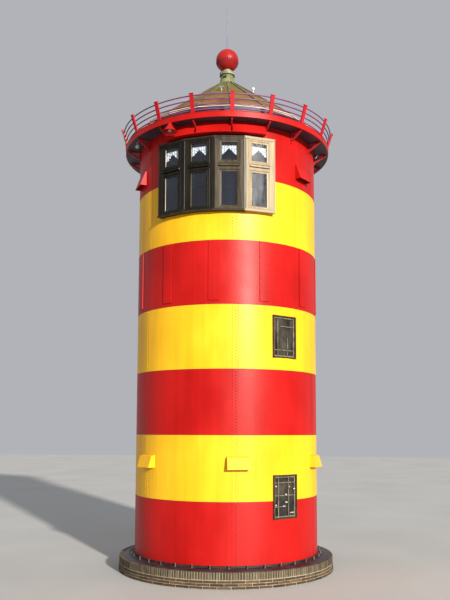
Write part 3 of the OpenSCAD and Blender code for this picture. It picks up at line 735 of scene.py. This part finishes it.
LIGHTS = ((LOWER_LIGHT, lower_light_z + LOWER_LIGHT / 2), (UPPER_LIGHT, upper_light_z + UPPER_LIGHT / 2))
facet_width = LIGHT_W + 2 * STILE
for i, azimuth in enumerate(FACET_AZIMUTH, start=1):
    origin, axes = upright_face(azimuth, FACET_R)
    paint = facet_paint[i]
    shapes = [light_moulding(LIGHT_W, height, z, BEAD) for height, z in LIGHTS]
    shapes.append(moved(block_shape(LIGHT_W + 0.036, 0.026, 0.050, 0.012),
                        0, 0.010, upper_light_z - 0.062))
    for depth, out, z in ((0.016, 0.007, bay_foot_z + 0.012), (0.014, 0.006, bay_top_z - 0.013)):
        shapes.append(moved(block_shape(facet_width - 0.03, depth, 0.022, 0.004), 0, out, z))
    stamp(f"window_mouldings_{i}", join_shapes(shapes), [origin], axes[None], paint)
    stamp(f"window_sash_{i}",
          join_shapes([light_moulding(LIGHT_W, height, z, SASH) for height, z in LIGHTS]),
          [origin], axes[None], paint)

post_height = bay_top_z - bay_foot_z
# The cover between the third and fourth windows takes the half-lit copy of the coat: painted light.
for name, corners, paint in (("dark_corner_covers", CORNER_AZIMUTH[1:3], bay_paint),
                             ("half_lit_corner_cover", CORNER_AZIMUTH[3:4], half_lit_bay_paint)):
    stamp(name, block_shape(0.052, 0.018, post_height - 0.004, 0.005),
          on_tower(corners, CORNER_R - 0.001, bay_foot_z + post_height / 2),
          about_axis(corners), paint)

# The left reveal of each light has a pale coat. Its finish is brightest on the first window, as
# painted sunlight, and darker on the second and third, as painted shade.
reveal_coat_and_light = {1: bay_oil_paint("pale_sunlit_reveal", (0.42, 0.38, 0.30), (0.62, 0.58, 0.50)),
                2: bay_oil_paint("dim_reveal", (0.10, 0.085, 0.06), (0.16, 0.14, 0.10)),
                3: bay_oil_paint("brown_reveal", (0.10, 0.080, 0.052), (0.17, 0.14, 0.095))}
for i, paint in reveal_coat_and_light.items():
    bars(f"window_reveals_{i}", FACET_AZIMUTH[i - 1], FACET_R,
         [(-LIGHT_W / 2 + 0.044, -0.0125, z, 0.008, 0.009, height - 0.09) for height, z in LIGHTS],
         paint)

paint_node("bay_glass", pane_glass("bay_glass", (0.92, 0.95, 0.98), (0.03, 0.04, 0.09),
                                   (0.07, 0.08, 0.14), dust_share=(0.02, 0.07),
                                   mirror_rough=0.10))
paint_node("watch_room_floor", finish("floor_boards", (0.05, 0.032, 0.018), (0.10, 0.065, 0.036),
                                      grain=(0.12, 1.2, 0.2), rough=(0.5, 0.7), relief=0.001))
paint_node("curtain_rods", finish("rod_brass", (0.42, 0.30, 0.12), (0.60, 0.46, 0.22),
                                  grain=(0.05, 0.05, 0.05), rough=(0.25, 0.4), relief=0.0002,
                                  metallic=0.9))


# ---- Lace valances ----
# A short white curtain hangs from each rod in the upper lights, gathered on it in soft pleats. Its
# lower edge is cut in an inverted V with a scalloped border, so that it ends in two points.

valance_low, valance_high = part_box("curtains")
VALANCE_TOP, VALANCE_DROP = valance_high[2] - 0.0005, valance_high[2] - valance_low[2] - 0.001
VALANCE_W = LIGHT_W - 0.040
CURTAIN_BACK = 0.044
PLEATS, PLEAT_DEPTH = 7.5, 0.011


def lace(name):
    """Cotton lace: a dense mesh of tiny holes, with rows of flowers that are left nearly solid."""
    material = finish(name, (0.90, 0.90, 0.90), (0.97, 0.97, 0.97), grain=(0.01, 0.01, 0.01),
                      rough=(0.85, 0.95), relief=0.0008)
    tree = material.node_tree
    own = add_node(tree, "UVMap", uv_map="cloth")
    flowers = add_node(tree, "TexVoronoi", {"Scale": 22, "Vector": own.outputs["UV"]})
    holes = add_node(tree, "TexVoronoi", {"Scale": 190, "Vector": own.outputs["UV"]})
    petals = add_node(tree, "Math", {0: flowers.outputs["Distance"], 1: 0.42}, operation="LESS_THAN")
    thread = add_node(tree, "Math", {0: holes.outputs["Distance"], 1: 0.46}, operation="GREATER_THAN")
    solid = add_node(tree, "Math", {0: petals.outputs["Value"], 1: thread.outputs["Value"]},
                     operation="MAXIMUM")
    tree.links.new(solid.outputs["Value"], tree.nodes["Principled BSDF"].inputs["Alpha"])
    return material


lace_cotton = lace("lace_cotton")
across, down = np.linspace(-1, 1, 157), np.linspace(0, 1, 25)
side = np.abs(across)
# The drop grows from the middle to the two points and eases off outside them.
lobe = 0.30 + 0.70 * np.clip(side / 0.78, 0, 1) ** 1.1
lobe = lobe - 0.12 * np.clip((side - 0.80) / 0.20, 0, 1) ** 2
scallop = 0.035 * np.abs(np.sin(across * np.pi * 9))
length = VALANCE_DROP * np.clip(lobe + scallop - 0.035, 0.08, 1.0)
pleat = PLEAT_DEPTH * (np.sin(across * np.pi * PLEATS) + 0.35 * np.sin(across * np.pi * 5.3 + 1))
flat_step = np.hypot(np.diff(across) * VALANCE_W / 2, np.diff(pleat))
cloth_x = np.concatenate([[0], np.cumsum(flat_step)])
for i, azimuth in enumerate(FACET_AZIMUTH, start=1):
    origin, axes = upright_face(azimuth, FACET_R - CURTAIN_BACK)
    open_out = 0.55 + 0.45 * down[:, None]
    z = VALANCE_TOP - down[:, None] * length[None, :]
    x = np.broadcast_to(across[None, :] * VALANCE_W / 2, z.shape)
    y = pleat[None, :] * open_out
    points = np.stack([x, y, z], axis=-1) @ axes + origin
    quads = grid_faces(len(down), len(across), close_columns=False)[:, ::-1]
    valance = new_object(f"valance_{i}", points, quads, lace_cotton, smooth=True, closed=False)
    uv = np.stack(np.broadcast_arrays(cloth_x[None, :], z - VALANCE_TOP), axis=-1).reshape(-1, 2)
    corners = np.empty(len(valance.data.loops), dtype=int)
    valance.data.loops.foreach_get("vertex_index", corners)
    valance.data.uv_layers.new(name="cloth").data.foreach_set("uv", uv[corners].ravel())
    ride_shell(valance)
    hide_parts("curtains")


# ---- Apron over the bay ----
# A sloping apron of sheet iron throws rain clear of the bay. It is painted with the top course and
# has a rolled bead along its lower edge.

paint_node("bay_hood", red_paint)
apron_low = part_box("bay_hood")[0]
APRON_R, APRON_HALF, BEAD_R = -apron_low[1], 29.0, 0.009
around = np.radians(np.arange(8) * 45)
hoop("apron_bead", np.column_stack([APRON_R - 0.004 + BEAD_R * np.cos(around),
                                    apron_low[2] + 0.004 + BEAD_R * np.sin(around)]),
     red_paint, turns=60, span=(-APRON_HALF, APRON_HALF))


# ---- Gallery ----
# An iron walkway on eighteen knee brackets, with a rim plate round it. Flat posts lean outwards
# from the rim, with a pair of bolts at each, and carry four thin rails.

POSTS = 18
post_azimuth = (np.arange(POSTS) + 0.5) * 360 / POSTS
# The deck's underside and the curb are near black with a blue cast: painted shade under the gallery and the
# eaves.
soffit_shade_paint = finish("gallery_underside_shade", (0.010, 0.010, 0.018), (0.035, 0.030, 0.045),
                      grain=(0.5, 0.5, 0.5), rough=(0.45, 0.65), relief=0.002)
rail_paint = finish("rail_paint", (0.14, 0.030, 0.11), (0.22, 0.045, 0.16), grain=(0.3, 0.3, 0.1),
                    rough=(0.35, 0.5), relief=0.0006)
post_paint = tower_paint("post_paint", (0.36, 0.008, 0.014), (0.46, 0.014, 0.024))
for name, paint in (("gallery_deck", soffit_shade_paint), ("roof_curb", soffit_shade_paint),
                    ("gallery_rim", red_paint), ("gallery_brackets", post_paint),
                    ("railing_posts", post_paint), ("gallery_rails", rail_paint)):
    paint_node(name, paint)

rim_low, rim_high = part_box("gallery_rim")
RIM_R = rim_high[0]
rim_bead = [(RIM_R - 0.017, rim_high[2] - 0.001), (RIM_R + 0.004, rim_high[2] - 0.001),
            (RIM_R + 0.006, rim_high[2] + 0.005), (RIM_R + 0.002, rim_high[2] + 0.010),
            (RIM_R - 0.013, rim_high[2] + 0.010)]
hoop("rim_bead", rim_bead, red_paint, turns=180)
bolt_azimuth = np.concatenate([post_azimuth - 0.6, post_azimuth + 0.6])
stamp("rim_bolts", dome_shape(0.013, 0.008),
      on_tower(bolt_azimuth, RIM_R - 0.001, rim_low[2] + 0.060), about_axis(bolt_azimuth),
      red_paint, smooth=True)


# ---- Roof ----
# Eighteen flats of sheet on boards, with a batten over every hip. The sheet has faded to a sandy
# tan and grown green near the top, where it stays damp, and a pale board runs along the eaves.

roof_low, roof_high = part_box("roof_shell")


# The first colour is the roof's own damp olive; the second is painted shade for the eaves board.
DAMP_OLIVE, GROOVE_SHADE = (0.11, 0.110, 0.036), (0.11, 0.050, 0.025)


def roof_finish(name):
    """Weathered roof sheet: sandy tan at the eaves and olive at the top, by height, with a cloudy
    edge between them."""
    material = finish(name, (0.125, 0.058, 0.018), (0.22, 0.125, 0.042), grain=(0.35, 0.35, 0.5),
                      rough=(0.6, 0.8), relief=0.003, fine=14, specular=0.12)
    tree = material.node_tree
    parts = add_node(tree, "SeparateXYZ", {"Vector": tree.nodes["Texture Coordinate"].outputs["Object"]})
    wander = add_node(tree, "Math", {0: tree.nodes["fine"].outputs["Fac"], 1: 0.9,
                                     2: parts.outputs["Z"]}, operation="MULTIPLY_ADD")
    climb = add_node(tree, "MapRange", {"From Min": roof_low[2] + 0.55, "From Max": roof_high[2] + 0.30,
                                        "Value": wander.outputs["Value"]})
    cover(tree, tree.nodes["colours"].outputs["Color"], DAMP_OLIVE, climb.outputs["Result"])
    return material


paint_node("roof_shell", roof_finish("roof_sheet"))
paint_node("roof_hip_ribs", finish("hip_batten", (0.08, 0.060, 0.028), (0.17, 0.14, 0.07),
                                   grain=(0.2, 0.2, 0.2), rough=(0.6, 0.8), relief=0.002))


def shade_band_board(material, band_low, band_high):
    """Paints a dark band between two heights on a finish: painted shade."""
    tree = material.node_tree
    parts = add_node(tree, "SeparateXYZ", {"Vector": tree.nodes["Texture Coordinate"].outputs["Object"]})
    over = add_node(tree, "Math", {0: parts.outputs["Z"], 1: band_low}, operation="GREATER_THAN")
    under = add_node(tree, "Math", {0: parts.outputs["Z"], 1: band_high}, operation="LESS_THAN")
    both = add_node(tree, "Math", {0: over.outputs["Value"], 1: under.outputs["Value"]},
                    operation="MULTIPLY")
    cover(tree, tree.nodes["colours"].outputs["Color"], GROOVE_SHADE, both.outputs["Value"])
    return material


# The pale eaves board carries a painted band of shade across its middle.
eaves_low, eaves_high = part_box("eaves_board")
eaves_h = eaves_high[2] - eaves_low[2]
paint_node("eaves_board",
           shade_band_board(finish("eaves_paint", (0.44, 0.35, 0.26), (0.62, 0.54, 0.44),
                                grain=(0.4, 0.4, 0.06), rough=(0.5, 0.7), relief=0.001),
                         eaves_low[2] + 0.30 * eaves_h, eaves_low[2] + 0.68 * eaves_h))


# ---- Ball ventilator ----
# A spun ball on a tapered neck lets stale air out through a row of slots below its middle. Its
# neck is green with a small hatch, its seat is olive, and a thin rod on top takes lightning.

paint_node("roof_neck", finish("neck_green", (0.085, 0.105, 0.034), (0.20, 0.215, 0.080),
                               grain=(0.15, 0.15, 0.3), rough=(0.5, 0.7), relief=0.002))
neck_low, neck_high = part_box("roof_neck")
NECK_SLOPE = np.arctan2(0.040, neck_high[2] - neck_low[2])
HATCH_AZIMUTH = [-14.0]


def leant(angle):
    """A turn about the axis across a place, which leans its outward axis up by an angle."""
    return np.array([[1, 0, 0], [0, np.cos(angle), np.sin(angle)], [0, -np.sin(angle), np.cos(angle)]])


stamp("neck_hatch", block_shape(0.075, 0.012, 0.060, 0.003),
      on_tower(HATCH_AZIMUTH, neck_high[0] - 0.024, neck_high[2] - 0.075),
      leant(NECK_SLOPE)[None] @ about_axis(HATCH_AZIMUTH), foot_iron)
paint_node("ball_seat", finish("seat_paint", (0.15, 0.15, 0.085), (0.30, 0.30, 0.19),
                               grain=(0.12, 0.12, 0.05), rough=(0.5, 0.7), relief=0.001))
paint_node("ball_ventilator", tower_paint("ball_paint", (0.30, 0.010, 0.010), (0.40, 0.020, 0.016)))
paint_node("lightning_rod", finish("rod_steel", (0.12, 0.13, 0.20), (0.22, 0.23, 0.33),
                                   grain=(0.05, 0.05, 0.3), rough=(0.4, 0.6), relief=0.0005,
                                   metallic=0.4))

ball_low, ball_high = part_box("ball_ventilator")
BALL_R = (ball_high[0] - ball_low[0]) / 2
ball_z = ball_high[2] - BALL_R
SLOTS = 36
slot_azimuth = np.arange(SLOTS) * 360 / SLOTS
slot_drop = np.radians(19)
stamp("ball_slots", block_shape(0.012, 0.006, 0.078, 0.002),
      on_tower(slot_azimuth, BALL_R * np.cos(slot_drop), ball_z - BALL_R * np.sin(slot_drop)),
      leant(-slot_drop)[None] @ about_axis(slot_azimuth),
      finish("slot_shadow", (0.030, 0.002, 0.002), (0.060, 0.004, 0.004), grain=(0.05, 0.05, 0.05),
             rough=(0.8, 0.9), relief=0.0003))


# ---- Small fittings ----
# A vent pipe and a white globe stand on the roof. A lamp with a spun shade hangs at the left of
# the bay, and a hook and a small fitting hang under the gallery.

white_paint = finish("white_paint", (0.62, 0.62, 0.56), (0.86, 0.86, 0.82), grain=(0.05, 0.05, 0.05),
                     rough=(0.35, 0.5), relief=0.0006)
paint_node("roof_vent_pipe", finish("pipe_paint", (0.13, 0.14, 0.09), (0.25, 0.26, 0.19),
                                    grain=(0.05, 0.05, 0.05), rough=(0.5, 0.6), relief=0.0006))
paint_node("roof_globe", white_paint)
shade_paint = tower_paint("shade_paint", (0.36, 0.008, 0.008), (0.46, 0.018, 0.014))
paint_node("lamp_shade", shade_paint)
paint_node("lamp_arm", shade_paint)


def turned(name, profile, centre, material):
    """A profile of (radius, height) points turned about an upright line through a centre."""
    turns, profile = 24, np.asarray(profile, dtype=float)
    turn = np.arange(turns)[:, None] * 2 * np.pi / turns
    points = np.stack([profile[None, :, 0] * np.cos(turn), profile[None, :, 0] * np.sin(turn),
                       profile[None, :, 1] + 0 * turn], axis=-1) + np.asarray(centre)
    rows = len(profile)
    faces = [*grid_faces(turns, rows, close_rows=True, close_columns=False),
             np.arange(turns) * rows, np.arange(turns)[::-1] * rows + rows - 1]
    return ride_shell(new_object(name, points, faces, material, smooth=True))


def tube(name, path, radius, material):
    """A round bar along a path: at each point a circle across the path's direction there."""
    sides, path = 10, np.asarray(path, dtype=float)
    along = np.gradient(path, axis=0)
    along /= np.linalg.norm(along, axis=1, keepdims=True)
    level = np.cross(along, [0.31, 0.17, 0.93])
    level /= np.linalg.norm(level, axis=1, keepdims=True)
    lift = np.cross(along, level)
    turn = (np.arange(sides) * 2 * np.pi / sides)[None, :, None]
    points = path[:, None] + radius * (np.cos(turn) * level[:, None] + np.sin(turn) * lift[:, None])
    last = (len(path) - 1) * sides
    faces = [*grid_faces(len(path), sides), np.arange(sides)[::-1], np.arange(sides) + last]
    return ride_shell(new_object(name, points, faces, material, smooth=True))


shade_low, shade_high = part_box("lamp_shade")
shade_x, shade_y = (shade_low[0] + shade_high[0]) / 2, (shade_low[1] + shade_high[1]) / 2
BULB_R = 0.034
sweep = np.radians(np.linspace(-85, 62, 14))
bulb_profile = np.concatenate([np.column_stack([BULB_R * np.cos(sweep), BULB_R * np.sin(sweep)]),
                               [[0.015, BULB_R + 0.004], [0.015, BULB_R + 0.022]]])
turned("lamp_bulb", bulb_profile, (shade_x, shade_y, shade_low[2] + 0.030),
       finish("bulb_glass", (0.42, 0.36, 0.27), (0.56, 0.50, 0.40), grain=(0.05, 0.05, 0.05),
              rough=(0.1, 0.2), relief=0.0002, specular=0.5))

# The hook leaves the shell, sags by HOOK_DIP and turns up again by HOOK_RISE at its free end.
HOOK_AZIMUTH, HOOK_SWING, HOOK_ROOT_Z = 87, 3.0, 8.475
HOOK_REACH, HOOK_DIP, HOOK_RISE, HOOK_R = 0.105, 0.065, 0.10, 0.008
share = np.linspace(0, 1, 22)
hook_azimuth = HOOK_AZIMUTH - HOOK_SWING * np.sin(share * np.pi * 0.75)
hook_z = HOOK_ROOT_Z - HOOK_DIP * np.sin(np.clip(share / 0.62, 0, 1) * np.pi / 2)
hook_z = hook_z + HOOK_RISE * np.clip((share - 0.45) / 0.55, 0, 1) ** 1.6
tube("gallery_hook", on_tower(hook_azimuth, SHELL_R - 0.004 + HOOK_REACH * share, hook_z), HOOK_R,
     fitting_metal)
deck_foot_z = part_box("gallery_deck")[0][2]
FITTING_AZIMUTH, FITTING_R = -54.5, 2.05
bars("gallery_fitting", FITTING_AZIMUTH, FITTING_R,
     [(0, 0, deck_foot_z - 0.100, 0.075, 0.055, 0.050), (0, 0, deck_foot_z - 0.038, 0.016, 0.016, 0.080)],
     fitting_metal)
